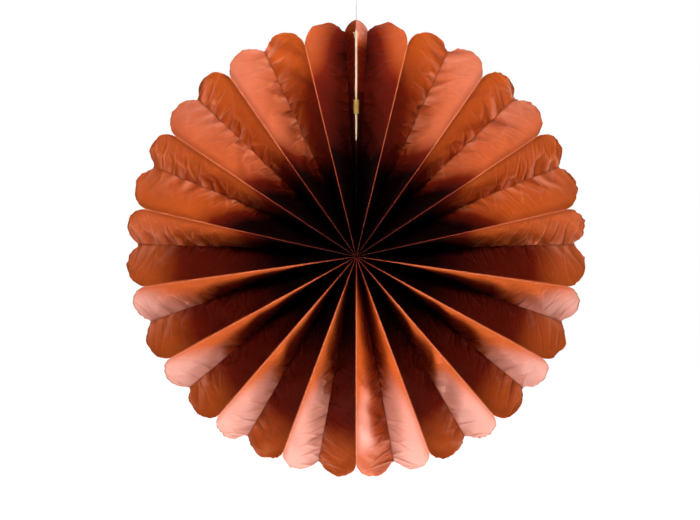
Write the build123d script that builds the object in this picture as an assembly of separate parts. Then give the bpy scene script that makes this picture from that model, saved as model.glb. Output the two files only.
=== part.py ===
from build123d import *
import os
from math import cos, pi, radians, sin, sqrt

os.makedirs("parts", exist_ok=True)

# A paper fan rosette: one long sheet folded into panels, opened into a full circle and hung by
# a thread. The front faces -Y, up is +Z, and the origin is the middle of the hub. Angles run
# from +X towards +Z, as seen from the front. All lengths are in millimetres, angles in degrees.

# The folded sheet
rim_radius = 200.0          # from the axis to the peak of a lobe
front_notch_depth = 16.0    # from a lobe's peak down to the notch at a front fold
back_notch_depth = 9.0      # from a lobe's peak down to the notch at a back fold
rim_depth = 18.0            # from the front folds to the back folds, at the rim
front_folds = 17
seam_angle = 90.0
seam_wedge_angle = 5.5      # between the last two back folds, with the seam in its middle
sag_angle = 1.9             # by which the folds at the sides hang down
paper_wall = 0.3            # several plies of tissue
hub_looseness_share = 1.15  # the hub's girth, over the thickness of all its panels
bow_share = 0.2             # how far a panel bows back at the rim, over the rim's depth
trim_overrun = 1.0
even_facet_radius = 62.0    # from here outward the sheet's flat facets are equally long
inner_facets = 7            # along a fold, from the hub to that radius
outer_facets = 6            # along a fold, from that radius to the rim

# The outline of a lobe, as shares of its panel from the front fold to the back fold
lobe_peak_share = 0.5
lobe_shoulder_share = 0.92
lobe_shoulder_drop_share = 0.82  # of the depth of the notch at the back fold
end_lobe_share = 0.45
end_lobe_drop_share = 0.3

# The gap between the sheet's two ends, and the stiff cards behind them
seam_gap_angle = 0.9
card_thickness = 0.8
card_length = 92.0
card_rim_gap = 10.0         # from a lobe's peak down to the card's outer end
card_reach_share = 0.6      # how much of an end panel's width is backed by its card
glue_gap = 0.1

# The clip over the seam
clip_radius = 127.0         # from the axis to the middle of the clip
clip_length = 12.0
clip_leg = 3.2
clip_wall = 0.35
clip_fillet = 0.5
clip_gap = 0.3

# The thread that binds the hub
binding_radius = 5.0
binding_diameter = 0.6
binding_gap = 0.1
binding_back_share = 0.4    # how far it lies behind the middle, over half the hub's depth
ring_sides = 6              # of the section of a ring of thread

# The hanging thread, its knots and its loop
thread_diameter = 0.5
thread_length = 52.0
knot_radius = 0.9
knot_rim_gap = 20.0         # from a lobe's peak down to the lower knot
knot_gap = 0.1
loop_radius = 6.0

# What follows from the sizes above
pitch = (360 - seam_wedge_angle) / front_folds
half_pitch = pitch / 2
sheet_radius = rim_radius + trim_overrun
panel_width = sqrt((2 * sheet_radius * sin(radians(half_pitch / 2))) ** 2 + rim_depth ** 2)
panel_count = 2 * front_folds + 2
hub_radius = hub_looseness_share * panel_count * paper_wall / (2 * pi)
hub_depth = panel_width
sheet_end_angle = seam_angle - seam_gap_angle / 2
card_outer_radius = rim_radius - card_rim_gap
card_inner_radius = card_outer_radius - card_length
knot_seat = rim_radius - knot_rim_gap
binding_plane = binding_back_share * hub_depth / 2


def between(first, last, share):
    """What lies at a share of the way from the first value to the last."""
    return first + share * (last - first)


def stations():
    """Radii of the facets' corners: they grow by a fixed factor near the hub, then evenly."""
    growth = even_facet_radius / hub_radius
    inner = [hub_radius * growth ** (i / inner_facets) for i in range(inner_facets)]
    step = (sheet_radius - even_facet_radius) / outer_facets
    return inner + [even_facet_radius + i * step for i in range(outer_facets + 1)]


sheet_places = stations()


def faceted(curve, radius):
    """The value of a curve at a radius, on the straight runs between the stations."""
    count = sum(place < radius for place in sheet_places)
    inner, outer = sheet_places[count - 1], sheet_places[count]
    return between(curve(inner), curve(outer), (radius - inner) / (outer - inner))


def half_depth(radius):
    """Half the distance from the front folds to the back folds: it keeps a panel's width."""
    chord = 2 * radius * sin(radians(half_pitch / 2))
    return sqrt(panel_width ** 2 - chord ** 2) / 2


def wall_along_axis(radius):
    """The wall of a panel, measured parallel to the axis in the plane of a fold."""
    return paper_wall * panel_width / (2 * radius * sin(radians(half_pitch / 2)))


def seam_chord(radius):
    """Distance across an end panel, from its back fold to the seam."""
    return 2 * radius * sin(radians(seam_wedge_angle / 4))


def seam_front(radius):
    """Where the cut end of the sheet lies along the axis: an end panel has half a width."""
    return half_depth(radius) - sqrt((panel_width / 2) ** 2 - seam_chord(radius) ** 2)


def seam_back(radius):
    """The hidden face of the sheet's end, which never reaches the back of the hub."""
    wall = paper_wall * panel_width / 2 / seam_chord(radius)
    room = half_depth(radius) - seam_front(radius)
    return seam_front(radius) + wall * room / (wall + room)


def card_front(radius):
    return seam_back(radius) + glue_gap


def card_wall(radius):
    return card_thickness * panel_width / 2 / seam_chord(radius)


def card_back(radius):
    return card_front(radius) + card_wall(radius)


def card_fold_back(radius):
    """Where the back of the card would reach the back fold, if the card were as wide as that."""
    return half_depth(radius) + glue_gap + card_wall(radius)


def meridian(angle):
    """The half plane through the axis at an angle: x runs outward and y along the axis."""
    outward = (cos(radians(angle)), 0, sin(radians(angle)))
    across = (-sin(radians(angle)), 0, cos(radians(angle)))
    return Plane(origin=(0, 0, 0), x_dir=outward, z_dir=across)


def band(angle, front, back, places=sheet_places):
    """A section of a thin wall in one meridian: the corners of its front and of its back."""
    plane = meridian(angle)
    near = [plane.from_local_coords((r, front(r))) for r in places]
    far = [plane.from_local_coords((r, back(r))) for r in places]
    return near, far


def facets(before, after):
    """Flat three-cornered faces between two lines of corners."""
    corners = []
    for a, b, c, d in zip(before, before[1:], after, after[1:]):
        corners += [(a, b, d), (a, d, c)]
    return [Face(Wire.make_polygon(points)) for points in corners]


def walled(bands):
    """A thin wall whose front and back are flat facets from each band to the next one."""
    faces = [Face(Wire.make_polygon([*near, *reversed(far)])) for near, far in (bands[0], bands[-1])]
    for (near, far), (next_near, next_far) in zip(bands, bands[1:]):
        faces += facets(near, next_near)
        faces += facets(far, next_far)
        for i in (0, -1):
            faces += facets([near[i], far[i]], [next_near[i], next_far[i]])
    return Solid(Shell(faces))


def front_fold_band(angle):
    return band(
        angle,
        lambda r: -half_depth(r),
        lambda r: wall_along_axis(r) - half_depth(r),
    )


def back_fold_band(angle):
    return band(
        angle,
        lambda r: half_depth(r) - wall_along_axis(r),
        half_depth,
    )


def bow(radius):
    """How far the middle of a panel bows back, which grows towards the rim."""
    return bow_share * rim_depth * (radius / rim_radius) ** 2


def bowed_band(angle):
    return band(
        angle,
        lambda r: bow(r) - wall_along_axis(r) / 2,
        lambda r: bow(r) + wall_along_axis(r) / 2,
    )


def fold_angle(number):
    """The angle of a fold, counted down from the seam: even folds are back folds."""
    even = seam_angle - seam_wedge_angle / 2 - number * half_pitch
    return even - sag_angle * cos(radians(even))


def polar(radius, angle):
    return (radius * cos(radians(angle)), radius * sin(radians(angle)))


def trimmed(panel, outline, first, last):
    """Keeps what lies inside an outline of the rim, which runs from angle first to angle last."""
    spare = last - first
    inner = [polar(rim_radius - front_notch_depth, last + spare), (0, 0)]
    inner.append(polar(rim_radius - front_notch_depth, first - spare))
    start, end = outline[0] @ 0, outline[-1] @ 1
    corners = [(end.X, end.Y), *inner, (start.X, start.Y)]
    face = make_face([*outline, *Polyline(*corners).edges()])
    return panel & extrude(Plane.XZ * face, panel_width, both=True)


def full_panel(front_angle, back_angle):
    """One panel between a front fold and a back fold, with its lobe."""
    middle = bowed_band(between(front_angle, back_angle, 1 / 2))
    sections = [front_fold_band(front_angle), middle, back_fold_band(back_angle)]
    notch = polar(rim_radius - front_notch_depth, front_angle)
    peak = polar(rim_radius, between(front_angle, back_angle, lobe_peak_share))
    shoulder_radius = rim_radius - lobe_shoulder_drop_share * back_notch_depth
    shoulder = polar(shoulder_radius, between(front_angle, back_angle, lobe_shoulder_share))
    dip = polar(rim_radius - back_notch_depth, back_angle)
    lobe = [ThreePointArc(notch, peak, shoulder), Line(shoulder, dip)]
    return trimmed(walled(sections), lobe, front_angle, back_angle)


def end_panel():
    """The half panel that ends the sheet at the right of the seam, cut off at its lobe's peak."""
    back_angle = fold_angle(0)
    sections = [
        back_fold_band(back_angle),
        band(sheet_end_angle, seam_front, seam_back),
    ]
    dip = polar(rim_radius - back_notch_depth, back_angle)
    rise_radius = rim_radius - end_lobe_drop_share * back_notch_depth
    rise = polar(rise_radius, between(back_angle, sheet_end_angle, end_lobe_share))
    peak = polar(rim_radius, sheet_end_angle)
    lobe = [ThreePointArc(dip, rise, peak)]
    return trimmed(walled(sections), lobe, back_angle, sheet_end_angle)


def ring(radius, section_radius):
    """A ring about the Y axis, whose section has flat sides."""
    section = RegularPolygon(section_radius, ring_sides, major_radius=False)
    return revolve(Pos(radius, 0) * section, Axis.Y)


def binding(section_radius):
    """The ring where the binding thread runs through the panels."""
    return Pos(0, binding_plane, 0) * ring(binding_radius, section_radius)


def pleated_fan():
    """The whole folded sheet: its right half, and the same mirrored in the plane of the seam."""
    panels = [end_panel()]
    for number in range(front_folds):
        folds = fold_angle(number), fold_angle(number + 1)
        front, back = folds if number % 2 else reversed(folds)
        panels.append(full_panel(front, back))
    hole = binding(binding_diameter / 2 + binding_gap)
    pierced = [panel - hole for panel in panels]
    right = pierced[0].fuse(*pierced[1:])
    return right.fuse(mirror(right, about=Plane.YZ))


def end_card():
    """The card behind the end panel at the right of the seam, square where it meets its twin."""
    back_angle = fold_angle(0)
    places = [r for r in sheet_places if r > even_facet_radius / 2]
    sections = [
        band(back_angle, lambda r: half_depth(r) + glue_gap, card_fold_back, places),
        band(sheet_end_angle, card_front, card_back, places),
        band(seam_angle, card_front, card_back, places),
    ]
    reach = between(sheet_end_angle, back_angle, card_reach_share)
    corners = [
        polar(card_inner_radius, seam_angle),
        polar(card_outer_radius, seam_angle),
        polar(card_outer_radius, reach),
        polar(card_inner_radius, reach),
    ]
    face = make_face(Polyline(*corners, close=True))
    return walled(sections) & extrude(Plane.XZ * face, panel_width, both=True)


def seam_clip():
    """A strip of brass folded over the ridge of the seam, with its legs along the end panels."""
    inner = faceted(seam_front, clip_radius - clip_length / 2)
    outer = faceted(seam_front, clip_radius + clip_length / 2)
    ridge = (inner + outer) / 2
    edge = clip_radius * sin(radians(seam_gap_angle / 2))
    fold = clip_radius * sin(radians(seam_wedge_angle / 2))
    depth = half_depth(clip_radius) - wall_along_axis(clip_radius) - ridge
    slant = sqrt((fold - edge) ** 2 + depth ** 2)
    stand_off = clip_gap + clip_wall / 2
    nose = edge + stand_off
    foot = (nose + clip_leg * (fold - edge) / slant, clip_leg * depth / slant - stand_off)
    path = FilletPolyline(
        (-foot[0], foot[1]),
        (-nose, -stand_off),
        (nose, -stand_off),
        foot,
        radius=clip_fillet,
    )
    along = Plane(origin=(0, ridge, clip_radius), x_dir=(1, 0, 0), z_dir=(0, outer - inner, clip_length))
    return along * extrude(trace(path, clip_wall), clip_length / 2, both=True)


def thread_knot():
    return Pos(0, thread_place, knot_seat) * Sphere(knot_radius)


def hanging_thread():
    """A straight, taut thread, up from the lower knot."""
    return Pos(0, thread_place, thread_foot) * Cylinder(
        thread_diameter / 2, thread_length, align=(Align.CENTER, Align.CENTER, Align.MIN)
    )


def thread_loop():
    """The loop that goes over a hook, closed by a knot at the end of the thread."""
    top = thread_foot + thread_length
    drop = sqrt(knot_radius ** 2 - (thread_diameter / 2) ** 2)
    knot = Pos(0, thread_place, top + drop) * Sphere(knot_radius)
    turn = ring(loop_radius, thread_diameter / 2)
    loop = knot + Pos(0, thread_place, top + drop + loop_radius) * turn
    below = Cylinder(knot_radius, knot_radius, align=(Align.CENTER, Align.CENTER, Align.MAX))
    return loop - Pos(0, thread_place, top) * below


# The thread hangs just behind the cards, and starts at the top of its lower knot
thread_place = faceted(card_back, knot_seat) + knot_gap + knot_radius
thread_foot = knot_seat + knot_radius

right_card = end_card()
nodes = {
    "pleated_fan": pleated_fan(),
    "end_card_right": right_card,
    "end_card_left": mirror(right_card, about=Plane.YZ),
    "seam_clip": seam_clip(),
    "binding_thread": binding(binding_diameter / 2),
    "thread_knot": thread_knot(),
    "hanging_thread": hanging_thread(),
    "thread_loop": thread_loop(),
}

for name, shape in nodes.items():
    export_step(shape, f"parts/{name}.step")
    print(name, round(shape.volume, 2), shape.is_valid, len(shape.solids()))
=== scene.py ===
import bpy
import numpy as np
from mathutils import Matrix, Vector


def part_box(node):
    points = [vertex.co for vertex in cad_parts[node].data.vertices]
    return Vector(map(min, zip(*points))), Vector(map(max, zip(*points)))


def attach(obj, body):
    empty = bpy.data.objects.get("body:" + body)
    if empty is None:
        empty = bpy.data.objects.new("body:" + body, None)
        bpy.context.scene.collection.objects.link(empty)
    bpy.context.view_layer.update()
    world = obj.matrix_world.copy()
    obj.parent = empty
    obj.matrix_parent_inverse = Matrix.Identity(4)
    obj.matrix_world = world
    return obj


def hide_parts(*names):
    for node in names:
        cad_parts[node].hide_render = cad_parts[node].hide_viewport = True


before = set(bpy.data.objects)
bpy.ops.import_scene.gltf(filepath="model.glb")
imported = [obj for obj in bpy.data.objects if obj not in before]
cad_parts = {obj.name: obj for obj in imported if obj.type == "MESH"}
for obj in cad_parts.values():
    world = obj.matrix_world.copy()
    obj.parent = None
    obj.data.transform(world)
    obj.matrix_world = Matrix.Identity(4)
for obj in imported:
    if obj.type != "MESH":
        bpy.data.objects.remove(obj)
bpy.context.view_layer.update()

MM = 0.001

# A paper fan rosette. Its folded sheet is drawn panel by panel as one fine grid, which also
# carries masks for painted shade between the pleats and a painted pink highlight on the lower
# lobes. Lengths are in millimetres, and angles in radians from +X towards +Z, where nothing else is
# said.

# The folded sheet, as in the part's source
RIM_RADIUS = 200.0
SHEET_RADIUS = 201.0            # how far the sheet reaches before its rim is cut
RIM_DEPTH = 18.0                # from the front folds to the back folds, at the rim
FRONT_NOTCH, BACK_NOTCH = 16.0, 9.0
FRONT_FOLDS = 17
PANELS = 2 * FRONT_FOLDS + 2
SEAM_ANGLE = np.radians(90)
SEAM_HALF_GAP = np.radians(0.45)
WEDGE = np.radians(5.5)         # between the last two back folds, with the seam in its middle
HALF_PITCH = (2 * np.pi - WEDGE) / FRONT_FOLDS / 2
SAG = np.radians(1.9)
CARD_FOOT, CARD_HEAD = 98.0, 190.0
BOW_SHARE = 0.2                 # how far a panel bows back at the rim, over the rim's depth
PANEL_WIDTH = np.hypot(2 * SHEET_RADIUS * np.sin(HALF_PITCH / 2), RIM_DEPTH)

# A lobe's outline, as shares of its panel's width and of its back notch
SHOULDER_SHARE, SHOULDER_DROP_SHARE = 0.92, 0.82
END_LOBE_SHARE, END_LOBE_DROP_SHARE = 0.45, 0.3

# What the drawn sheet has of its own
WALL = 0.26                     # its plies, a little thinner than in the source
HUB_RADIUS = 1.0                # smaller than in the source, so that no light comes through
CREST_RADIUS, CREASE_RADIUS = 0.55, 0.22
CREST_WIDTH_SHARE, CREASE_WIDTH_SHARE = 0.32, 0.2
CREST_STEPS, WALL_STEPS, CREASE_STEPS = 4, 22, 3
WALL_CROWDING = 0.11
ROWS, ROWS_NEAR_HUB, EVEN_ROWS_FROM = 88, 15, 46.0
RIM_PULL = 5                    # power of the radius with which the rows follow the rim

# The gap between the sheet's ends, as half a width: below, over and above the cards
GAP_BELOW, GAP_OVER_CARDS, GAP_ABOVE = 0.09, 0.95, 0.3

# The rim's uneven cut: each pair of a size and the (count, shortest, longest) of its waves
RIM_CUT = (0.45, (6, 2.6, 6.5)), (0.5, (3, 9, 20))

# Veins: how many start on a panel, from where, and ranges for each one
VEINS, VEINS_FROM = 17, 46.0
VEIN_STEP, VEIN_SIZE, VEIN_LEAN = (6.5, 12.5), (0.5, 1.3), (0.1, 0.75)
VEIN_WIDTH, VEIN_LENGTH, VEIN_CURVE = (1.5, 2.6), (6, 17), 0.012
FURROW_SHARE, FURROW_PLACE = 0.55, 1.9
VEINS_FADE_IN = 60, 100         # radii
CREASE_STRIP = 0, 0.8           # the strip beside a back fold where nothing is lifted yet

# Waves of the walls: each a size, a slant and the (count, shortest, longest) of its waves
WAVES_FROM_CREASE = 0.7, 0.5, (5, 22, 46)
WAVES_FROM_CREST = 0.55, -0.8, (5, 17, 40)
WAVES_FADE_IN = 45, 115         # radii

# Shade beside the seam, at radii: its width in degrees, and how deep it is
SEAM_SHADE_WIDTH = (110, 150, 180, 200), (24, 21, 15, 13)
SEAM_SHADE_DEPTH = (70, 110, 150, 180, 200), (1, 0.8, 0.66, 0.42, 0.24)
SEAM_SHADE_GATHERS = 140, 180   # radii
SEAM_CREST_SHARE = 0.25
# Shade round the hub: where its edge lies at the back folds, and what is added at the crests, on
# walls turned away from the light, and on those of them that lie low at the sides
HUB_SHADE_RADIUS, HUB_SHADE_CREST, HUB_SHADE_AWAY = 79, 15, 13
HUB_SHADE_LOW_CREST, HUB_SHADE_LOW = 12, 4
HUB_SHADE_INWARD, HUB_SHADE_OUTWARD = 22, 34
HUB_SHADE_WAVES = (3.5, 11, 1), (2.5, 23, 0)    # each a size, a number round the fan, a phase
# The thin dim line beside a crest is painted shade.
CREST_SHADE_LINE = 0.17               # how dim the thin line beside a crest is
LOW_SIDE_HEIGHT, LOW_SIDE_SPREAD = 16, 8        # degrees above the horizontal
CREST_SHARE, CREST_SHARE_BY_SEAM, BY_SEAM = 0.42, 0.25, 22      # the last one in degrees
# Lower walls that are turned away: by how much they fade, from which radius to which
TURNED_WALL_FADES = (0.38, 45, 145), (0.6, 138, 188)
# Clear strip along the crests of the lit lower walls: its width at radii, by what it is
# multiplied at sines of the angle below the horizontal, and the logarithms between which it ends
CLEAR_STRIP = (0, 20, 50, 100, 125, 145, 165, 210), (0.5, 4.5, 10.5, 14, 21, 42, 100, 140)
CLEAR_STRIP_GROWTH = (0.25, 0.5, 0.77, 0.93, 1), (1.35, 1.15, 1.5, 2.3, 2.5)
CLEAR_STRIP_EDGE = -1.1, 1.0
LIT_WALL_FADE = 0.07, 80, 130   # by how much, and the radii between which that comes
HUB_CREST_DIM = 0.42, 14, 62    # how dim the crests are, and the radii between which that ends
# Painted pink highlight of the lower lobes: the radius where it starts, at sines of the angle below
# the horizontal, and how much further out it is full
PINK_START = (0.2, 0.5, 0.77, 0.97), (150, 138, 116, 94)
PINK_RISE = 46
PINK_CREST_SHARE = 0.45
PINK_ENDS = -0.25, 0.1          # sines of the angle above the horizontal
PINK_LEAVES_SHADE = 0.02, 0.32
# Painted light on the upper walls that are turned away: where it is strongest and how far it
# spreads, in degrees above the horizontal, and steps of an amount and the radii between which it
# comes
PAINTED_LIGHT_HEIGHT, PAINTED_LIGHT_SPREAD = 52, 17
PAINTED_LIGHT_STEPS = (0.2, 60, 120), (0.12, 150, 185)
# The panel just right of the lowest fold, in degrees. Its deep side has a painted shade of its own,
# which leaves less painted pink highlight there and in its lobe. It is lit with the panels on the
# left.
LOWEST_PANEL, PANEL_TOLERANCE = -85, 3
LOWEST_SHADE, LOWEST_SHADE_FADE, LOWEST_PINK_LOSS = 0.36, 0.6, 0.85
LEFT_PANELS_FROM = np.radians(-84)
# End panels: their columns, how far they stand in front of the cards, their least painted shade as
# an amount, by how much it fades and from which radius to which, and the painted pink highlight of
# the right one's tip
END_COLUMNS = np.concatenate([[0, 0.01, 0.03], np.linspace(0.07, 1, 14)])
END_OFFSET, END_VEIN_SHARE = WALL * 0.6, 0.6
END_HUB_SHADE_REACH = 140
LEAST_SHADE_LEFT, LEAST_SHADE_RIGHT = (0.52, 0.3, 184, 199), (0.5, 0.5, 174, 188)
RIGHT_TIP_HIGHLIGHT = 0.6, 178, 192

random = np.random.default_rng(17)


def fold_angle(number):
    """Angle of a fold, counted clockwise from the seam: even steps, less a share of its cosine by
    which the folds at the sides hang down."""
    even = SEAM_ANGLE - WEDGE / 2 - number * HALF_PITCH
    return even - SAG * np.cos(even)


def all_fold_angles():
    """The sheet's end, its 35 folds clockwise from the seam, and its other end: the left half
    mirrors the right one."""
    right = [fold_angle(k) for k in range(FRONT_FOLDS + 1)]
    left = [np.pi - a - 2 * np.pi for a in reversed(right[:-1])]
    return [SEAM_ANGLE - SEAM_HALF_GAP, *right, *left, SEAM_ANGLE - 2 * np.pi + SEAM_HALF_GAP]


FOLDS = all_fold_angles()


def slope(value, low, high):
    """0 below low, 1 above high, and a straight line between them."""
    return np.clip((value - low) / (high - low), 0, 1)


def smooth_step(value, low, high):
    """0 below low, 1 above high, and an even S between them."""
    t = slope(value, low, high)
    return t * t * (3 - 2 * t)


def half_depth(r):
    """Half the distance from front folds to back folds: the panel's width stays the same while
    its chord grows with the radius."""
    chord = 2 * r * np.sin(HALF_PITCH / 2)
    return np.sqrt(PANEL_WIDTH ** 2 - chord ** 2) / 2


def seam_y(r):
    """Where the sheet's cut end lies along the axis: an end panel is half as wide as the others."""
    chord = 2 * r * np.sin(WEDGE / 4)
    return half_depth(r) - np.sqrt((PANEL_WIDTH / 2) ** 2 - chord ** 2)


def circle_through(a, b, c):
    """Centre and radius of the circle through three points of the plane."""
    m = 2 * np.array([b - a, c - a])
    centre = np.linalg.solve(m, [b @ b - a @ a, c @ c - a @ a])
    return centre, np.linalg.norm(a - centre)


def at(radius, angle):
    """The point of the fan's plane at a distance from the axis, in a direction."""
    return radius * np.array([np.cos(angle), np.sin(angle)])


def reach_of_circle(centre, radius, angle):
    """Distance from the axis at which a ray leaves a circle."""
    along = centre[0] * np.cos(angle) + centre[1] * np.sin(angle)
    return along + np.sqrt(np.maximum(along ** 2 - centre @ centre + radius ** 2, 0))


def reach_of_line(a, b, angle):
    """Distance from the axis at which a ray meets the line through two points."""
    d = b - a
    return (a[0] * d[1] - a[1] * d[0]) / (np.cos(angle) * d[1] - np.sin(angle) * d[0])


def lobe_reach(front, back, angle):
    """The rim of a full panel: an arc from the front notch over the peak to the shoulder, then a
    line to the back notch."""
    notch = at(RIM_RADIUS - FRONT_NOTCH, front)
    peak = at(RIM_RADIUS, (front + back) / 2)
    shoulder = at(
        RIM_RADIUS - SHOULDER_DROP_SHARE * BACK_NOTCH, front + SHOULDER_SHARE * (back - front)
    )
    dip = at(RIM_RADIUS - BACK_NOTCH, back)
    share = (angle - front) / (back - front)
    arc = reach_of_circle(*circle_through(notch, peak, shoulder), angle)
    return np.where(share < SHOULDER_SHARE, arc, reach_of_line(shoulder, dip, angle))


def end_lobe_reach(back, end, angle):
    """The rim of an end panel: an arc that rises from the back notch to the seam."""
    dip = at(RIM_RADIUS - BACK_NOTCH, back)
    rise = at(RIM_RADIUS - END_LOBE_DROP_SHARE * BACK_NOTCH, back + END_LOBE_SHARE * (end - back))
    peak = at(RIM_RADIUS, end)
    return reach_of_circle(*circle_through(dip, rise, peak), angle)


def wall_steps():
    """Steps from crest to crease, as shares of the wall: even places less a sine, so that the
    steps are finer at both ends."""
    even = np.linspace(0, 1, WALL_STEPS + 1)
    return np.diff(even - WALL_CROWDING * np.sin(2 * np.pi * even))


WALL_SHARES = wall_steps()


def panel_profile(width, depth, bow):
    """Cross-section of a panel at each radius: a small arc at the crest, a wall whose slope eases
    from steep to flat so that it bows back, and a tighter arc at the crease. Each column is the
    sum of the steps before it, and a step is its length in the direction of its slope. Returns
    how far across and how far back each column lies, both from 0 to 1."""
    even = np.arctan2(depth, width)[:, None]
    turn = (4 * bow * np.cos(even[:, 0]) / PANEL_WIDTH)[:, None]
    steep, flat = even + turn, even - turn
    crest = (np.arange(CREST_STEPS) + 0.5)[None] / CREST_STEPS * steep
    middle = np.cumsum(WALL_SHARES) - WALL_SHARES / 2
    wall = steep + (flat - steep) * middle[None]
    crease = (CREASE_STEPS - np.arange(CREASE_STEPS) - 0.5)[None] / CREASE_STEPS * flat
    crest_radius = np.minimum(CREST_RADIUS, CREST_WIDTH_SHARE * width)[:, None]
    crease_radius = np.minimum(CREASE_RADIUS, CREASE_WIDTH_SHARE * width)[:, None]
    lengths = np.hstack([
        np.repeat(crest_radius * steep / CREST_STEPS, CREST_STEPS, 1),
        (PANEL_WIDTH - (crest_radius * steep + crease_radius * flat)) * WALL_SHARES[None],
        np.repeat(crease_radius * flat / CREASE_STEPS, CREASE_STEPS, 1),
    ])
    angles = np.hstack([crest, wall, crease])
    start = np.zeros((len(width), 1))
    across = np.hstack([start, np.cumsum(lengths * np.cos(angles), 1)])
    back = np.hstack([start, np.cumsum(lengths * np.sin(angles), 1)])
    return across / across[:, -1:], back / back[:, -1:]


def row_radii():
    """Radii of the rows from the hub to the rim: they grow by a factor near the hub, then lie
    evenly."""
    inner = np.geomspace(HUB_RADIUS, EVEN_ROWS_FROM, ROWS_NEAR_HUB)
    outer = np.linspace(EVEN_ROWS_FROM, RIM_RADIUS, ROWS - ROWS_NEAR_HUB + 2)[1:]
    return np.concatenate([inner, outer])


def stretched_to(rim, base):
    """Radii of a panel's points: each row is moved by what the rim differs from a circle, times a
    power of the row's radius, so that only the outer rows follow the lobe."""
    share = (base / RIM_RADIUS)[:, None]
    return base[:, None] + (rim - RIM_RADIUS) * share ** RIM_PULL


def ripple(length, count, shortest, longest):
    """A smooth random line: a sum of sines of random lengths, phases and sizes."""
    waves = random.uniform(shortest, longest, count)
    phases = random.uniform(0, 2 * np.pi, count)
    sizes = random.normal(0, 1, count) / np.sqrt(count)
    return (np.sin(length[..., None] * 2 * np.pi / waves + phases) * sizes).sum(-1)


def rim_cut(angle):
    """The uneven cut of a rim: two random lines along its arc, none at the folds."""
    arc = np.cumsum(np.abs(np.diff(angle, prepend=angle[0]))) * RIM_RADIUS
    (large, large_waves), (small, small_waves) = RIM_CUT
    cut = large * ripple(arc, *large_waves) + small * ripple(arc, *small_waves)
    return cut * (slope(arc, 0, 2) * slope(arc[-1] - arc, 0, 2))


def veins(radius, from_crease):
    """Creases like the veins of a leaf. Each starts at the back fold, leans outward in a slight
    curve and fades as a bell of the distance from the fold. Across it, the height is a bell less
    a lower bell beside it, which makes a ridge with a furrow."""
    starts = np.cumsum(random.uniform(*VEIN_STEP, VEINS)) + VEINS_FROM
    size = random.uniform(*VEIN_SIZE, VEINS) * random.choice([1, 1, -1], VEINS)
    lean = random.uniform(*VEIN_LEAN, VEINS)
    width = random.uniform(*VEIN_WIDTH, VEINS)
    length = random.uniform(*VEIN_LENGTH, VEINS)
    d = from_crease[..., None]
    along = (radius[..., None] - starts - lean * d - VEIN_CURVE * d ** 2) / width
    ridge = np.exp(-along ** 2 / 2) - FURROW_SHARE * np.exp(-(along - FURROW_PLACE) ** 2 / 2)
    height = (size * ridge * np.exp(-(d / length) ** 2)).sum(-1)
    return height * slope(radius, *VEINS_FADE_IN) * slope(from_crease, *CREASE_STRIP)


def waves(radius, from_crest, from_crease):
    """Broad soft waves of the wall: two random lines slanted against each other, which fade at
    both folds and towards the hub."""
    free = slope(from_crest, 0, 9) ** 1.3 * slope(from_crease, 0, 5)
    size, slant, lengths = WAVES_FROM_CREASE
    outward = size * ripple(radius + slant * from_crease, *lengths)
    size, slant, lengths = WAVES_FROM_CREST
    inward = size * ripple(radius + slant * from_crest, *lengths)
    return free * (outward + inward) * slope(radius, *WAVES_FADE_IN)


def height_in_degrees(angle):
    """How far a direction points above the horizontal."""
    return np.degrees(np.arcsin(np.clip(np.sin(angle), -1, 1)))


def degrees_from_seam(angle):
    return np.degrees(np.arccos(np.clip(np.cos(angle - SEAM_ANGLE), -1, 1)))


def bell(value, middle, spread):
    """1 in the middle, falling off evenly on both sides."""
    return np.exp(-((value - middle) / spread) ** 2)


def seam_shade(radius, depth, angle):
    """Painted shade: a flat-topped bell of the angle from the seam, narrower and weaker further
    out.
    Past the clip it gathers at the bottom of the pleat, with the square of the depth. Crests are
    clearer."""
    width = np.interp(radius, *SEAM_SHADE_WIDTH)
    shade = np.exp(-(degrees_from_seam(angle) / width) ** 4) * np.interp(radius, *SEAM_SHADE_DEPTH)
    gathered = 1.4 * (depth / PANEL_WIDTH) ** 2 - 0.45
    shade = shade * (1 + gathered * smooth_step(radius, *SEAM_SHADE_GATHERS))
    return shade * (SEAM_CREST_SHARE + (1 - SEAM_CREST_SHARE) * smooth_step(depth, 0.05, 0.8))


def hub_shade(radius, depth, angle, away):
    """A disc of painted shade round the hub with a soft and slightly wavy edge, which reaches
    further at the crests than at the creases. Crests are clearer, and have a thin painted shade
    line beside them."""
    low_side = bell(height_in_degrees(angle), LOW_SIDE_HEIGHT, LOW_SIDE_SPREAD)
    at_crest = HUB_SHADE_CREST + away * (HUB_SHADE_AWAY + HUB_SHADE_LOW_CREST * low_side)
    edge = HUB_SHADE_RADIUS + at_crest * (1 - depth / PANEL_WIDTH) + away * HUB_SHADE_LOW * low_side
    for size, number, phase in HUB_SHADE_WAVES:
        edge = edge + size * np.sin(number * angle + phase)
    disc = 1 - smooth_step(radius, edge - HUB_SHADE_INWARD, edge + HUB_SHADE_OUTWARD)
    crest = np.where(degrees_from_seam(angle) < BY_SEAM, CREST_SHARE_BY_SEAM, CREST_SHARE)
    disc = disc * (crest + (1 - crest) * smooth_step(depth, 0.1, 0.9))
    line = CREST_SHADE_LINE * (1 - smooth_step(depth, 1, 9)) * smooth_step(depth, 0, 0.6)
    return np.maximum(disc, line)


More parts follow.
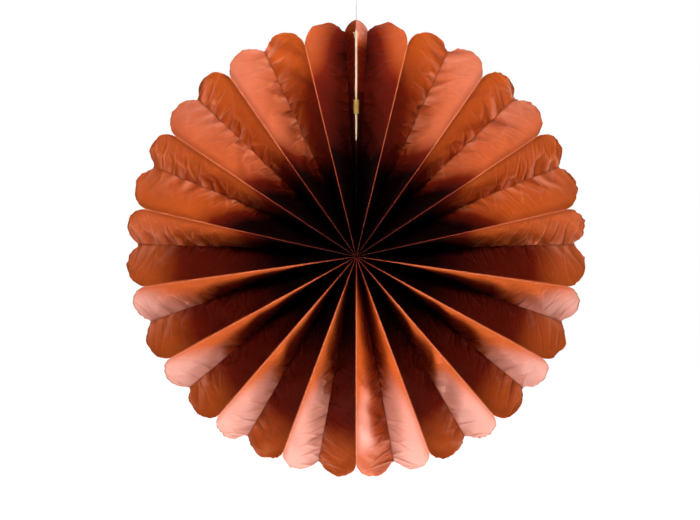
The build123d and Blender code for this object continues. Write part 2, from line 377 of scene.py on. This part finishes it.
def lower_wall_shade(radius, depth, angle, away):
    """Painted shade below the horizontal. On a wall that is turned away it fades slowly, then fast
    in its lobe. A lit wall is clear down to a depth that grows with the radius, and its shade is an
    S of the logarithm of the depth. The crests are clear, but for a dimmer stretch at the hub."""
    if away:
        shade = np.ones_like(radius)
        for fade, near, far in TURNED_WALL_FADES:
            shade = shade - fade * smooth_step(radius, near, far)
    else:
        clear = np.interp(radius, *CLEAR_STRIP)
        clear = clear * np.interp(-np.sin(angle), *CLEAR_STRIP_GROWTH)
        shade = smooth_step(np.log(np.maximum(depth, 0.01) / clear), *CLEAR_STRIP_EDGE)
        fade, near, far = LIT_WALL_FADE
        shade = shade * (1 - fade * smooth_step(radius, near, far))
    shade = shade * smooth_step(depth, 0.2, 2.0)
    dim, near, far = HUB_CREST_DIM
    return np.maximum(shade, dim * (1 - smooth_step(radius, near, far)))


def painted_highlight_of_lobe(radius, from_crest, angle):
    """A painted pink highlight: an S of the radius that starts further in at the bottom of the fan
    and at the back folds. It is weaker on the crests, and ends at the horizontal."""
    start = np.interp(-np.sin(angle), *PINK_START)
    pink = smooth_step(radius + from_crest - PANEL_WIDTH / 2, start, start + PINK_RISE)
    pink = pink * (PINK_CREST_SHARE + (1 - PINK_CREST_SHARE) * smooth_step(from_crest, 0.5, 8))
    return pink * (1 - smooth_step(np.sin(angle), *PINK_ENDS))


def painted_light_on_turned_wall(radius, angle):
    """Painted light on a turned-away upper wall: a bell of the height above the horizontal,
    stronger in two steps towards the rim.
    """
    brightening = sum(amount * smooth_step(radius, near, far) for amount, near, far in PAINTED_LIGHT_STEPS)
    return brightening * bell(height_in_degrees(angle), PAINTED_LIGHT_HEIGHT, PAINTED_LIGHT_SPREAD)


def painted_shade_and_light(radius, from_crest, angle, front, back):
    """Painted shade between two pleats at each point of a panel, and painted light there, as a pink
    highlight on lit lobes and a brightening of turned-away upper walls, both from 0 to 1."""
    middle_angle = (front + back) / 2
    away = (back > front) == (middle_angle > LEFT_PANELS_FROM)
    if np.sin(middle_angle) > 0:
        shade = hub_shade(radius, from_crest, angle, away)
    else:
        shade = lower_wall_shade(radius, from_crest, angle, away)
    shade = np.maximum(shade, seam_shade(radius, from_crest, angle))
    if away:
        return shade, painted_light_on_turned_wall(radius, angle)
    pink = painted_highlight_of_lobe(radius, from_crest, angle)
    if abs(np.degrees(middle_angle) - LOWEST_PANEL) < PANEL_TOLERANCE:
        deep_side = smooth_step(from_crest, 12, 32)
        fade = 1 - LOWEST_SHADE_FADE * smooth_step(radius, 150, 185)
        shade = np.maximum(shade, LOWEST_SHADE * deep_side * fade)
        loss = LOWEST_PINK_LOSS * np.maximum(deep_side, smooth_step(radius, 164, 184))
        pink = pink * (1 - loss)
    return shade, pink * (1 - smooth_step(shade, *PINK_LEAVES_SHADE))


def full_panel(front, back):
    """One panel from its crest to its crease: its profile at each row's radius, turned from the
    angle of the one fold to that of the other, with the rim cut to a lobe."""
    base = row_radii()
    width = 2 * base * np.sin(abs(back - front) / 2)
    bow = BOW_SHARE * RIM_DEPTH * (base / RIM_RADIUS) ** 2
    across, deep = panel_profile(width, 2 * half_depth(base), bow)
    angle = front + (back - front) * across
    radius = stretched_to(lobe_reach(front, back, angle) + rim_cut(angle[-1])[None], base)
    h = half_depth(np.minimum(radius, SHEET_RADIUS))
    y = -h + 2 * h * deep
    from_crease = PANEL_WIDTH * (1 - deep * 0.5 - across * 0.5)
    from_crest = PANEL_WIDTH - from_crease
    vein = veins(radius, from_crease) * slope(from_crest, 0, 8)
    shade, painted_light = painted_shade_and_light(radius, from_crest, angle, front, back)
    # The vein's painted marks and its lift are weaker under the painted light.
    vein = vein * (1 - 0.4 * painted_light)
    lift = vein + waves(radius, from_crest, from_crease)
    return radius, angle, y, from_crease, lift, shade, painted_light, vein


def seam_gap_at(radius):
    """Half the gap between the sheet's ends, as an angle: as wide as the two cards, closed round
    the thread above them, and all but shut below them, with an S between each two."""
    above = smooth_step(radius, CARD_HEAD, CARD_HEAD + 3)
    over_cards = GAP_OVER_CARDS - (GAP_OVER_CARDS - GAP_ABOVE) * above
    gap = GAP_BELOW + (over_cards - GAP_BELOW) * smooth_step(radius, CARD_FOOT - 0.5, CARD_FOOT + 3)
    return np.minimum(gap / radius, SEAM_HALF_GAP)


def end_panel(back, end):
    """The half panel at an end of the sheet, flat from its crease to its cut edge at the seam.
    Its painted shade is counted from the crease, since the seam is its front."""
    base = row_radii()
    across = np.repeat(END_COLUMNS[None], len(base), 0)
    side = np.sign(end - back)
    edge = end + side * (SEAM_HALF_GAP - seam_gap_at(base))[:, None]
    angle = back + (edge - back) * across
    radius = stretched_to(end_lobe_reach(back, end, angle), base)
    r = np.minimum(radius, SHEET_RADIUS)
    y = half_depth(r) + (seam_y(r) - half_depth(r)) * across - END_OFFSET
    from_crease = PANEL_WIDTH / 2 * across
    lift = veins(radius, from_crease) * (1 - across) * END_VEIN_SHARE
    least, fade, near, far = LEAST_SHADE_RIGHT if side > 0 else LEAST_SHADE_LEFT
    least = least - fade * smooth_step(radius, near, far)
    amount, near, far = RIGHT_TIP_HIGHLIGHT
    painted_light = amount * smooth_step(radius, near, far) * (side > 0)
    shade = np.maximum(
        hub_shade(radius, from_crease, angle, False), seam_shade(radius, from_crease, angle)
    )
    shade = np.maximum(shade * (radius < END_HUB_SHADE_REACH), least)
    return radius, angle, y, from_crease, lift, shade, painted_light, lift


def panels_between(first, last):
    """Panels number first to last of the sheet, side by side, as one grid of points. Even numbers
    run from a front fold to a back fold, and odd ones are turned round."""
    parts = []
    for number in range(first, last + 1):
        a, b = FOLDS[number], FOLDS[number + 1]
        if number == 0:
            grid = [g[:, ::-1] for g in end_panel(b, a)]
        elif number == PANELS - 1:
            grid = end_panel(a, b)
        elif number % 2:
            grid = [g[:, ::-1] for g in full_panel(b, a)]
        else:
            grid = full_panel(a, b)
        parts.append([g if number == first else g[:, 1:] for g in grid])
    return [np.hstack(columns) for columns in zip(*parts)]


def lifted(points, lift):
    """Moves each point of a grid along the grid's own normal, towards the front."""
    du = np.gradient(points, axis=1)
    dv = np.gradient(points, axis=0)
    normal = np.cross(dv, du)
    normal /= np.linalg.norm(normal, axis=-1, keepdims=True) + 1e-12
    normal *= np.where(normal[..., 1:2] > 0, -1, 1)
    return points + normal * lift[..., None]


def grid_mesh(name, points, uv=None, masks=None, wrap=False):
    """A mesh whose faces join neighbours of a grid of points, given in millimetres."""
    rows, cols = points.shape[:2]
    index = np.arange(rows * cols).reshape(rows, cols)
    if wrap:
        index = np.hstack([index, index[:, :1]])
    corners = [index[:-1, :-1], index[:-1, 1:], index[1:, 1:], index[1:, :-1]]
    quads = np.stack(corners, -1).reshape(-1, 4)
    mesh = bpy.data.meshes.new(name)
    mesh.from_pydata((points.reshape(-1, 3) * MM), [], quads)
    if uv is not None:
        layer = mesh.uv_layers.new(name="UVMap")
        layer.data.foreach_set("uv", uv.reshape(-1, 2)[quads.ravel()].astype(np.float32).ravel())
    for key, values in (masks or {}).items():
        mask = mesh.attributes.new(key, "FLOAT", "POINT")
        mask.data.foreach_set("value", values.astype(np.float32).ravel())
    mesh.polygons.foreach_set("use_smooth", np.ones(len(quads), bool))
    mesh.update()
    piece = bpy.data.objects.new(name, mesh)
    bpy.context.scene.collection.objects.link(piece)
    return piece


# Materials

# Colours of the tissue, in linear light: the dye and its mottle, painted highlights and painted
# shade
DYE, BRIGHT_DYE, CLOUDY_DYE = (0.54, 0.088, 0.007), (0.68, 0.122, 0.01), (0.58, 0.09, 0.009)
FIBRE_DYE, PAINTED_PINK_HIGHLIGHT = (0.46, 0.062, 0.01), (0.8, 0.34, 0.26)
PAINTED_CREASE_HIGHLIGHT, PAINTED_FOLD_SHADE = (0.85, 0.3, 0.17), (0.12, 0.012, 0.003)
PAINTED_VEIN_HIGHLIGHT, PAINTED_VEIN_SHADE = (0.88, 0.34, 0.21), (0.27, 0.03, 0.004)
HALF_SHADE, FULL_SHADE = (0.15, 0.007, 0.002), (0.005, 0.001, 0.0012)
GLOW, SHADED_GLOW = (0.75, 0.14, 0.03), (0.02, 0.001, 0.001)


def new_material(name):
    material = bpy.data.materials.new(name)
    material.use_nodes = True
    tree = material.node_tree
    return material, tree, tree.nodes["Principled BSDF"]


def link(tree, a, b):
    tree.links.new(a, b)


def link_or_set(tree, socket, value):
    """Links a socket to another one, or gives it a number or a colour."""
    if isinstance(value, bpy.types.NodeSocket):
        link(tree, value, socket)
    elif isinstance(value, tuple) and len(value) == 3:
        socket.default_value = (*value, 1)
    else:
        socket.default_value = value


def noise(tree, vector, scale, detail, rough):
    node = tree.nodes.new("ShaderNodeTexNoise")
    node.inputs["Scale"].default_value = scale
    node.inputs["Detail"].default_value = detail
    node.inputs["Roughness"].default_value = rough
    link(tree, vector, node.inputs["Vector"])
    return node.outputs["Fac"]


def ramp(tree, value, low, high, to_low=0.0, to_high=1.0):
    """to_low where a value is low, to_high where it is high, and a straight line between them."""
    node = tree.nodes.new("ShaderNodeMapRange")
    node.inputs["From Min"].default_value = low
    node.inputs["From Max"].default_value = high
    node.inputs["To Min"].default_value = to_low
    node.inputs["To Max"].default_value = to_high
    link(tree, value, node.inputs["Value"])
    return node.outputs["Result"]


def mix_colour(tree, factor, a, b):
    node = tree.nodes.new("ShaderNodeMix")
    node.data_type = "RGBA"
    link_or_set(tree, node.inputs[0], factor)
    link_or_set(tree, node.inputs[6], a)
    link_or_set(tree, node.inputs[7], b)
    return node.outputs[2]


def maths(tree, kind, a, b):
    node = tree.nodes.new("ShaderNodeMath")
    node.operation = kind
    link_or_set(tree, node.inputs[0], a)
    link_or_set(tree, node.inputs[1], b)
    return node.outputs[0]


def times(tree, a, b):
    return maths(tree, "MULTIPLY", a, b)


def object_coordinates(tree):
    return tree.nodes.new("ShaderNodeTexCoord").outputs["Object"]


def mask(tree, name):
    """One of the masks that the sheet's grid carries."""
    node = tree.nodes.new("ShaderNodeAttribute")
    node.attribute_name = name
    return node.outputs["Fac"]


def fine_grain_group():
    """Shared by every finish: an even grain, as a mask and as a surface that it lifts."""
    group = bpy.data.node_groups.new("fine_grain", "ShaderNodeTree")
    face = group.interface
    for name, kind, value in (
        ("Scale", "Float", 700), ("Depth", "Float", 0.0001), ("Stretch", "Vector", (1, 1, 1)),
    ):
        socket = face.new_socket(name=name, in_out="INPUT", socket_type="NodeSocket" + kind)
        socket.default_value = value
    face.new_socket(name="Grain", in_out="OUTPUT", socket_type="NodeSocketFloat")
    face.new_socket(name="Normal", in_out="OUTPUT", socket_type="NodeSocketVector")
    given, result = group.nodes.new("NodeGroupInput"), group.nodes.new("NodeGroupOutput")
    mapping = group.nodes.new("ShaderNodeMapping")
    link(group, object_coordinates(group), mapping.inputs["Vector"])
    link(group, given.outputs["Stretch"], mapping.inputs["Scale"])
    grain = group.nodes.new("ShaderNodeTexNoise")
    grain.inputs["Detail"].default_value, grain.inputs["Roughness"].default_value = 3, 0.6
    link(group, mapping.outputs["Vector"], grain.inputs["Vector"])
    link(group, given.outputs["Scale"], grain.inputs["Scale"])
    lifted_grain = group.nodes.new("ShaderNodeBump")
    link(group, grain.outputs["Fac"], lifted_grain.inputs["Height"])
    link(group, given.outputs["Depth"], lifted_grain.inputs["Distance"])
    link(group, ramp(group, grain.outputs["Fac"], 0.3, 0.7), result.inputs["Grain"])
    link(group, lifted_grain.outputs["Normal"], result.inputs["Normal"])
    return group


FINE_GRAIN = fine_grain_group()


def fine_grain(tree, scale, depth, stretch=(1, 1, 1)):
    node = tree.nodes.new("ShaderNodeGroup")
    node.node_tree = FINE_GRAIN
    node.inputs["Scale"].default_value = scale
    node.inputs["Depth"].default_value = depth
    node.inputs["Stretch"].default_value = stretch
    return node


def sheet_place(tree, along, outward):
    """Places on the flat sheet, scaled along the strip and outward from the hub, and leaned back
    with the distance from the back fold, so that lines fan outward on both sides of the fold."""
    lean = 0.012
    flat = tree.nodes.new("ShaderNodeSeparateXYZ")
    link(tree, tree.nodes.new("ShaderNodeTexCoord").outputs["UV"], flat.inputs["Vector"])
    out = maths(tree, "SUBTRACT", flat.outputs["Y"], times(tree, mask(tree, "crease"), lean))
    place = tree.nodes.new("ShaderNodeCombineXYZ")
    link(tree, times(tree, flat.outputs["X"], along), place.inputs["X"])
    link(tree, times(tree, out, outward), place.inputs["Y"])
    return place.outputs["Vector"]


def crumple(tree):
    """Sharp creases beside the back folds and fine wrinkles along them, from 0 to 1."""
    cells = tree.nodes.new("ShaderNodeTexVoronoi")
    cells.feature, cells.voronoi_dimensions = "DISTANCE_TO_EDGE", "2D"
    cells.inputs["Scale"].default_value = 1
    link(tree, sheet_place(tree, 34, 100), cells.inputs["Vector"])
    edge = ramp(tree, cells.outputs["Distance"], 0.0, 0.16, 1, 0)
    near_fold = ramp(tree, mask(tree, "crease"), 0.1, 0.62, 1, 0.12)
    sharp = times(tree, edge, near_fold)
    wrinkle = noise(tree, sheet_place(tree, 0.07, 0.3), 1000, 3, 0.55)
    return sharp, wrinkle


def tissue_colour(tree, grain, mottle, sharp):
    """The mottled dye, then a painted pink highlight on the lobes, painted highlights on the
    crumpled creases, the vein ridges and the crests, painted shade in the vein furrows and at the
    back folds, and painted shade over all.
    """
    cloud = noise(tree, object_coordinates(tree), 22, 3, 0.5)
    shade, crease, vein = mask(tree, "painted_shade"), mask(tree, "crease"), mask(tree, "vein")
    colour = mix_colour(tree, ramp(tree, mottle, 0.3, 0.7), DYE, BRIGHT_DYE)
    for amount, other in (
        (ramp(tree, cloud, 0.35, 0.65, 0, 0.5), CLOUDY_DYE),
        (times(tree, grain, 0.35), FIBRE_DYE),
        (times(tree, mask(tree, "painted_highlight"), 0.78), PAINTED_PINK_HIGHLIGHT),
        # Painted highlight along the crumpled creases.
        (times(tree, sharp, 0.25), PAINTED_CREASE_HIGHLIGHT),
        # Painted highlight on the vein ridges and painted shade in their furrows.
        (ramp(tree, vein, 0.1, 0.9, 0, 0.5), PAINTED_VEIN_HIGHLIGHT),
        (ramp(tree, vein, -0.05, -0.6, 0, 0.5), PAINTED_VEIN_SHADE),
        # Painted shade line at the back folds.
        (ramp(tree, crease, 0.0, 0.035, 0.55, 0), PAINTED_FOLD_SHADE),
        # Painted highlight along the crests.
        (ramp(tree, crease, 0.962, 0.985, 0, 0.2), PAINTED_CREASE_HIGHLIGHT),
        # Painted shade between the pleats, from half to full.
        (ramp(tree, shade, 0, 0.48, 0, 0.97), HALF_SHADE),
        (ramp(tree, shade, 0.45, 0.95, 0, 0.985), FULL_SHADE),
    ):
        colour = mix_colour(tree, amount, colour, other)
    return colour


def tissue_material():
    """Waxed orange tissue: fibres, a mottled dye, a soft gloss, light that comes through, and
    painted shade and painted highlights from the grid's masks.
    """
    material, tree, shader = new_material("orange_tissue")
    grain = fine_grain(tree, 900, 0.00008)
    mottle = noise(tree, object_coordinates(tree), 120, 4, 0.6)
    sharp, wrinkle = crumple(tree)
    shade, painted_highlight = mask(tree, "painted_shade"), mask(tree, "painted_highlight")
    colour = tissue_colour(tree, grain.outputs["Grain"], mottle, sharp)
    link(tree, colour, shader.inputs["Base Color"])
    link(tree, ramp(tree, mottle, 0.3, 0.7, 0.42, 0.56), shader.inputs["Roughness"])
    shader.inputs["Specular IOR Level"].default_value = 0.12
    # The coat follows the painted masks: none in deep painted shade, and weaker off the painted
    # pink highlight.
    coat_by_painted_light = times(tree, ramp(tree, shade, 0, 0.4, 1, 0), ramp(tree, painted_highlight, 0, 1, 0.3, 1))
    link(tree, coat_by_painted_light, shader.inputs["Coat Weight"])
    shader.inputs["Coat Roughness"].default_value = 0.5
    shader.inputs["Coat IOR"].default_value = 1.75
    height = maths(tree, "ADD", times(tree, sharp, 1.3), times(tree, wrinkle, 0.7))
    height = maths(tree, "ADD", height, times(tree, mottle, 0.35))
    height = times(tree, height, ramp(tree, painted_highlight, 0.3, 1, 1, 0.55))
    bump = tree.nodes.new("ShaderNodeBump")
    bump.inputs["Distance"].default_value, bump.inputs["Strength"].default_value = 0.0014, 0.75
    link(tree, height, bump.inputs["Height"])
    link(tree, grain.outputs["Normal"], bump.inputs["Normal"])
    link(tree, bump.outputs["Normal"], shader.inputs["Normal"])
    link(tree, bump.outputs["Normal"], shader.inputs["Coat Normal"])
    through = tree.nodes.new("ShaderNodeBsdfTranslucent")
    # The light through the tissue is darkened by the painted shade too.
    glow = mix_colour(tree, ramp(tree, shade, 0, 0.45), GLOW, SHADED_GLOW)
    link(tree, glow, through.inputs["Color"])
    both = tree.nodes.new("ShaderNodeMixShader")
    both.inputs["Fac"].default_value = 0.2
    link(tree, shader.outputs["BSDF"], both.inputs[1])
    link(tree, through.outputs["BSDF"], both.inputs[2])
    link(tree, both.outputs["Shader"], tree.nodes["Material Output"].inputs["Surface"])
    return material


TISSUE = tissue_material()


def tissue_piece(name, first, last):
    """A run of the folded sheet with the thickness of its plies. Its UV map is the flat sheet:
    the way along the strip, with a jump between runs, and the distance from the hub."""
    radius, angle, y, from_crease, lift, shade, painted_highlight, vein = panels_between(first, last)
    points = np.stack([radius * np.cos(angle), y, radius * np.sin(angle)], -1)
    points = lifted(points, lift)
    steps = np.abs(np.diff(from_crease, axis=1, prepend=from_crease[:, :1]))
    uv = np.stack([(np.cumsum(steps, 1) + 1000 * first) * MM, radius * MM], -1)
    masks = {"painted_shade": shade, "painted_highlight": painted_highlight, "crease": from_crease / PANEL_WIDTH, "vein": vein}
    piece = grid_mesh(name, points, uv, masks)
    piece.data.materials.append(TISSUE)
    wall = piece.modifiers.new("plies", "SOLIDIFY")
    wall.thickness = WALL * MM
    wall.offset = 0
    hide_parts("pleated_fan")
    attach(piece, "root")
    return piece


tissue_end = tissue_piece("tissue_right_end", 0, 0)
tissue_right = tissue_piece("tissue_right", 1, FRONT_FOLDS - 1)
tissue_left = tissue_piece("tissue_left", FRONT_FOLDS, PANELS - 1)


def plain_material(name, colour, other, scale, rough, depth, metal=0.0, stretch=(1, 1, 1)):
    """A finish with two close colours mixed by the fine grain, which also lifts the surface."""
    material, tree, shader = new_material(name)
    grain = fine_grain(tree, scale, depth, stretch)
    amount = grain.outputs["Grain"]
    link(tree, mix_colour(tree, amount, colour, other), shader.inputs["Base Color"])
    link(tree, ramp(tree, amount, 0, 1, rough - 0.08, rough + 0.08), shader.inputs["Roughness"])
    link(tree, grain.outputs["Normal"], shader.inputs["Normal"])
    shader.inputs["Metallic"].default_value = metal
    return material


CARD = plain_material(
    "cream_card", (0.72, 0.55, 0.38), (0.6, 0.43, 0.28), 700, 0.75, 0.0002, stretch=(1, 1, 0.25)
)
BRASS = plain_material(
    "clip_brass", (0.95, 0.6, 0.16), (0.8, 0.48, 0.11), 300, 0.42, 0.00003, 0.7, (1, 1, 0.1)
)
BINDING = plain_material(
    "binding_yarn", (0.6, 0.13, 0.03), (0.42, 0.08, 0.02), 2600, 0.85, 0.0001
)
YARN = plain_material(
    "grey_thread", (0.42, 0.42, 0.41), (0.28, 0.28, 0.27), 2600, 0.8, 0.0001
)

for node, finish in (
    ("end_card_left", CARD), ("end_card_right", CARD),
    ("seam_clip", BRASS), ("binding_thread", BINDING),
):
    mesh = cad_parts[node].data
    mesh.materials.clear()
    mesh.materials.append(finish)

# The hanging thread, its knots and its loop
THREAD_RADIUS = 0.25
STRANDS, TWIST_LENGTH, STRAND_BULGE = 3, 1.5, 0.12
RING_POINTS = 18
KNOT_SIZE = 0.62
KNOT_ABOVE_LOOP_FOOT, LOOP_START = 0.75, 1.1    # both above the foot of the part's loop


def twisted_tube(name, path, closed=False):
    """A tube round a path in the plane of the fan: each ring is a circle across the path, with a
    bulge for each strand, and the bulges turn once in every twist length."""
    gap = np.gradient(path, axis=0)
    if closed:
        gap = np.roll(path, -1, 0) - np.roll(path, 1, 0)
    along = gap / np.linalg.norm(gap, axis=1, keepdims=True)
    side = np.cross(along, [0.0, 1.0, 0.0])
    side /= np.linalg.norm(side, axis=1, keepdims=True)
    up = np.cross(side, along)
    length = np.cumsum(np.linalg.norm(np.diff(path, axis=0, prepend=path[:1]), axis=1))
    a = np.linspace(0, 2 * np.pi, RING_POINTS, endpoint=False)
    twist = STRANDS * a[None] - (2 * np.pi / TWIST_LENGTH) * length[:, None]
    radius = THREAD_RADIUS * (1 - STRAND_BULGE + STRAND_BULGE * np.cos(twist))
    ring = side[:, None] * np.cos(a)[None, :, None] + up[:, None] * np.sin(a)[None, :, None]
    points = path[:, None] + ring * radius[..., None]
    if closed:
        points = np.concatenate([points, points[:1]])
    piece = grid_mesh(name, points, wrap=True)
    piece.data.materials.append(YARN)
    return piece


def knot_path(centre, steps=140):
    """A trefoil: it goes twice round while it crosses itself three times."""
    t = np.linspace(0, 2 * np.pi, steps, endpoint=False)
    x = (np.sin(t) + 2 * np.sin(2 * t)) / 3
    z = (np.cos(t) - 2 * np.cos(2 * t)) / 3
    return centre + KNOT_SIZE * np.stack([x, -0.42 * np.sin(3 * t), z], -1)


def loop_path(foot, top, half_width, steps=160):
    """A drop: its height is a power of a sine, and its width is a sine turned once, times a power
    of the same sine, so it leaves the knot, goes over the top and comes back."""
    t = np.linspace(0, 1, steps)
    x = half_width * 1.15 * np.sin(2 * np.pi * t) * np.sin(np.pi * t) ** 0.7
    z = foot + (top - foot) * np.sin(np.pi * t) ** 1.15
    return np.stack([x, np.zeros(steps), z], -1)


def corners_of(node):
    """The lowest and the highest corner of a node's box, in millimetres."""
    return [np.array(corner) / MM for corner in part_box(node)]


thread_low, thread_high = corners_of("hanging_thread")
thread_y = (thread_low[1] + thread_high[1]) / 2
route = [(0, thread_y, z) for z in np.linspace(thread_low[2], thread_high[2], 3)]
curve = bpy.data.curves.new("hanging_thread_cord", "CURVE")
curve.dimensions = "3D"
curve.bevel_depth, curve.bevel_resolution, curve.use_fill_caps = THREAD_RADIUS * MM, 4, True
line = curve.splines.new("NURBS")
line.points.add(len(route) - 1)
for point, place in zip(line.points, route):
    point.co = (*(c * MM for c in place), 1)
line.order_u, line.use_endpoint_u = 3, True
curve.materials.append(YARN)
thread = bpy.data.objects.new("hanging_thread_cord", curve)
bpy.context.scene.collection.objects.link(thread)

knot_low, knot_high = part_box("thread_knot")
knot_middle = np.array((knot_low + knot_high) / 2) / MM
knot = twisted_tube("thread_lower_knot", knot_path(knot_middle), closed=True)
loop_low, loop_high = corners_of("thread_loop")
upper_knot_middle = np.array([0, thread_y, loop_low[2] + KNOT_ABOVE_LOOP_FOOT])
upper_knot = twisted_tube("thread_upper_knot", knot_path(upper_knot_middle), closed=True)
loop_half_width = (loop_high[0] - loop_low[0]) / 2 - THREAD_RADIUS
drop = loop_path(loop_low[2] + LOOP_START, loop_high[2] - THREAD_RADIUS, loop_half_width)
loop = twisted_tube("thread_hanging_loop", drop + [0, thread_y, 0])
for piece, node in (
    (thread, "hanging_thread"), (knot, "thread_knot"),
    (upper_knot, "thread_loop"), (loop, "thread_loop"),
):
    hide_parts(node)
    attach(piece, "root")

# The camera, floor and light, in metres and watts
PHOTO_WIDTH = 700
SHIFT_X_PIXELS, SHIFT_Y_PIXELS = -6.2, -6.5
CAMERA_LIFT, CAMERA_DISTANCE = np.radians(7.35), 1.31
LENS, SENSOR = 77.6, 36
TARGET = Vector((0, 0, 0))
FLOOR_HEIGHT, FLOOR_REACH = -1.35, 6
# Keys on a ring round the fan: turned from +X towards +Z and lifted in front, both in degrees,
# then the width of the light and its power. Each lights one half of the fan, from across it.
KEY_DISTANCE = 1.25
KEYS = (
    (206, 18, 0.5, 9.5),
    (240, 17, 0.6, 6),
    (266, 20, 0.5, 5),
    (300, 22, 0.5, 3),
    (138, 22, 0.5, 3.8),
)
# Fills: place, width and power
FILLS = {
    "front": ((0.1, -1.6, 0.9), 0.9, 2.2),
    "front_below": ((0, -1.25, -1.0), 0.7, 5),
    "behind": ((-0.5, 1.5, 0.7), 0.8, 9),
}
POOL_PLACE, POOL_TARGET = (0, -1.0, 0.85), (0, 0, 0.17)
POOL_POWER, POOL_CONE, POOL_SOFTNESS = 72, np.radians(25), 0.25
SKY_ON_FAN, SKY_IN_VIEW = 0.12, 1.0


def place_camera():
    """At the photograph's angle, shifted so that the fan's middle falls where it does there."""
    data = bpy.data.cameras.new("camera")
    data.lens, data.sensor_width = LENS, SENSOR
    camera = bpy.data.objects.new("camera", data)
    bpy.context.scene.collection.objects.link(camera)
    lift = CAMERA_LIFT
    camera.location = CAMERA_DISTANCE * Vector((0, -np.cos(lift), np.sin(lift)))
    camera.rotation_euler = (-camera.location).to_track_quat("-Z", "Y").to_euler()
    data.shift_x = SHIFT_X_PIXELS / PHOTO_WIDTH
    data.shift_y = SHIFT_Y_PIXELS / PHOTO_WIDTH
    bpy.context.scene.camera = camera


def place_light(name, data, place, towards):
    light = bpy.data.objects.new(name, data)
    bpy.context.scene.collection.objects.link(light)
    light.location = place
    light.rotation_euler = (Vector(towards) - light.location).to_track_quat("-Z", "Y").to_euler()
    return light


def area_light(name, place, size, power):
    data = bpy.data.lights.new(name, "AREA")
    data.shape, data.size, data.energy = "DISK", size, power
    return place_light(name, data, place, TARGET)


def light_only(light, receivers):
    group = bpy.data.collections.new(light.name + "_receivers")
    for piece in receivers:
        group.objects.link(piece)
    light.light_linking.receiver_collection = group


def ring_place(turn, lift, distance):
    """A place round the fan: turned from +X towards +Z, and lifted in front of its plane."""
    turn, lift = np.radians(turn), np.radians(lift)
    x, z = np.cos(turn) * np.cos(lift), np.sin(turn) * np.cos(lift)
    return tuple(distance * np.array([x, -np.sin(lift), z]))


def pale_floor():
    """A wide plain floor under the hanging fan, bright enough in view to pass for a white sweep."""
    edge = np.linspace(-FLOOR_REACH, FLOOR_REACH, 3)
    points = np.stack(np.meshgrid(edge, edge, [FLOOR_HEIGHT], indexing="ij"), -1)
    floor = grid_mesh("floor", points[:, :, 0] / MM)
    material, tree, shader = new_material("white_sweep")
    shader.inputs["Base Color"].default_value = (0.9, 0.9, 0.89, 1)
    shader.inputs["Roughness"].default_value = 0.7
    shader.inputs["Emission Color"].default_value = (1, 1, 1, 1)
    seen = tree.nodes.new("ShaderNodeLightPath").outputs["Is Camera Ray"]
    link(tree, times(tree, seen, 1.0), shader.inputs["Emission Strength"])
    floor.data.materials.append(material)
    return floor


def pale_sky():
    """A dim even light on the fan, and white behind it in view."""
    world = bpy.data.worlds.new("world")
    bpy.context.scene.world = world
    world.use_nodes = True
    world.cycles_visibility.glossy = False
    tree = world.node_tree
    dim, white = tree.nodes["Background"], tree.nodes.new("ShaderNodeBackground")
    for background, strength in ((dim, SKY_ON_FAN), (white, SKY_IN_VIEW)):
        background.inputs["Color"].default_value = (1, 1, 1, 1)
        background.inputs["Strength"].default_value = strength
    choose = tree.nodes.new("ShaderNodeMixShader")
    seen = tree.nodes.new("ShaderNodeLightPath").outputs["Is Camera Ray"]
    link(tree, seen, choose.inputs["Fac"])
    link(tree, dim.outputs["Background"], choose.inputs[1])
    link(tree, white.outputs["Background"], choose.inputs[2])
    link(tree, choose.outputs["Shader"], tree.nodes["World Output"].inputs["Surface"])


floor = pale_floor()
place_camera()
seam_pieces = [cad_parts[n] for n in ("end_card_left", "end_card_right", "seam_clip")]
right_side = [tissue_right, *seam_pieces, knot, thread]
left_side = [tissue_left, tissue_end]
for turn, lift, size, power in KEYS:
    name = "key_" + str(turn)
    x, y, z = ring_place(turn, lift, KEY_DISTANCE)
    light_only(area_light(name + "_from_left", (x, y, z), size, power), right_side)
    light_only(area_light(name + "_from_right", (-x, y, z), size, power), left_side)
for name, (place, size, power) in FILLS.items():
    area_light(name, place, size, power).visible_glossy = False
pool = bpy.data.lights.new("pool_on_upper_half", "SPOT")
pool.energy, pool.spot_size, pool.spot_blend = POOL_POWER, POOL_CONE, 1.0
pool.shadow_soft_size = POOL_SOFTNESS
place_light("pool_on_upper_half", pool, POOL_PLACE, POOL_TARGET).visible_glossy = False
pale_sky()

bpy.context.scene.view_settings.view_transform = "Standard"
bpy.context.scene.view_settings.gamma = 1.0
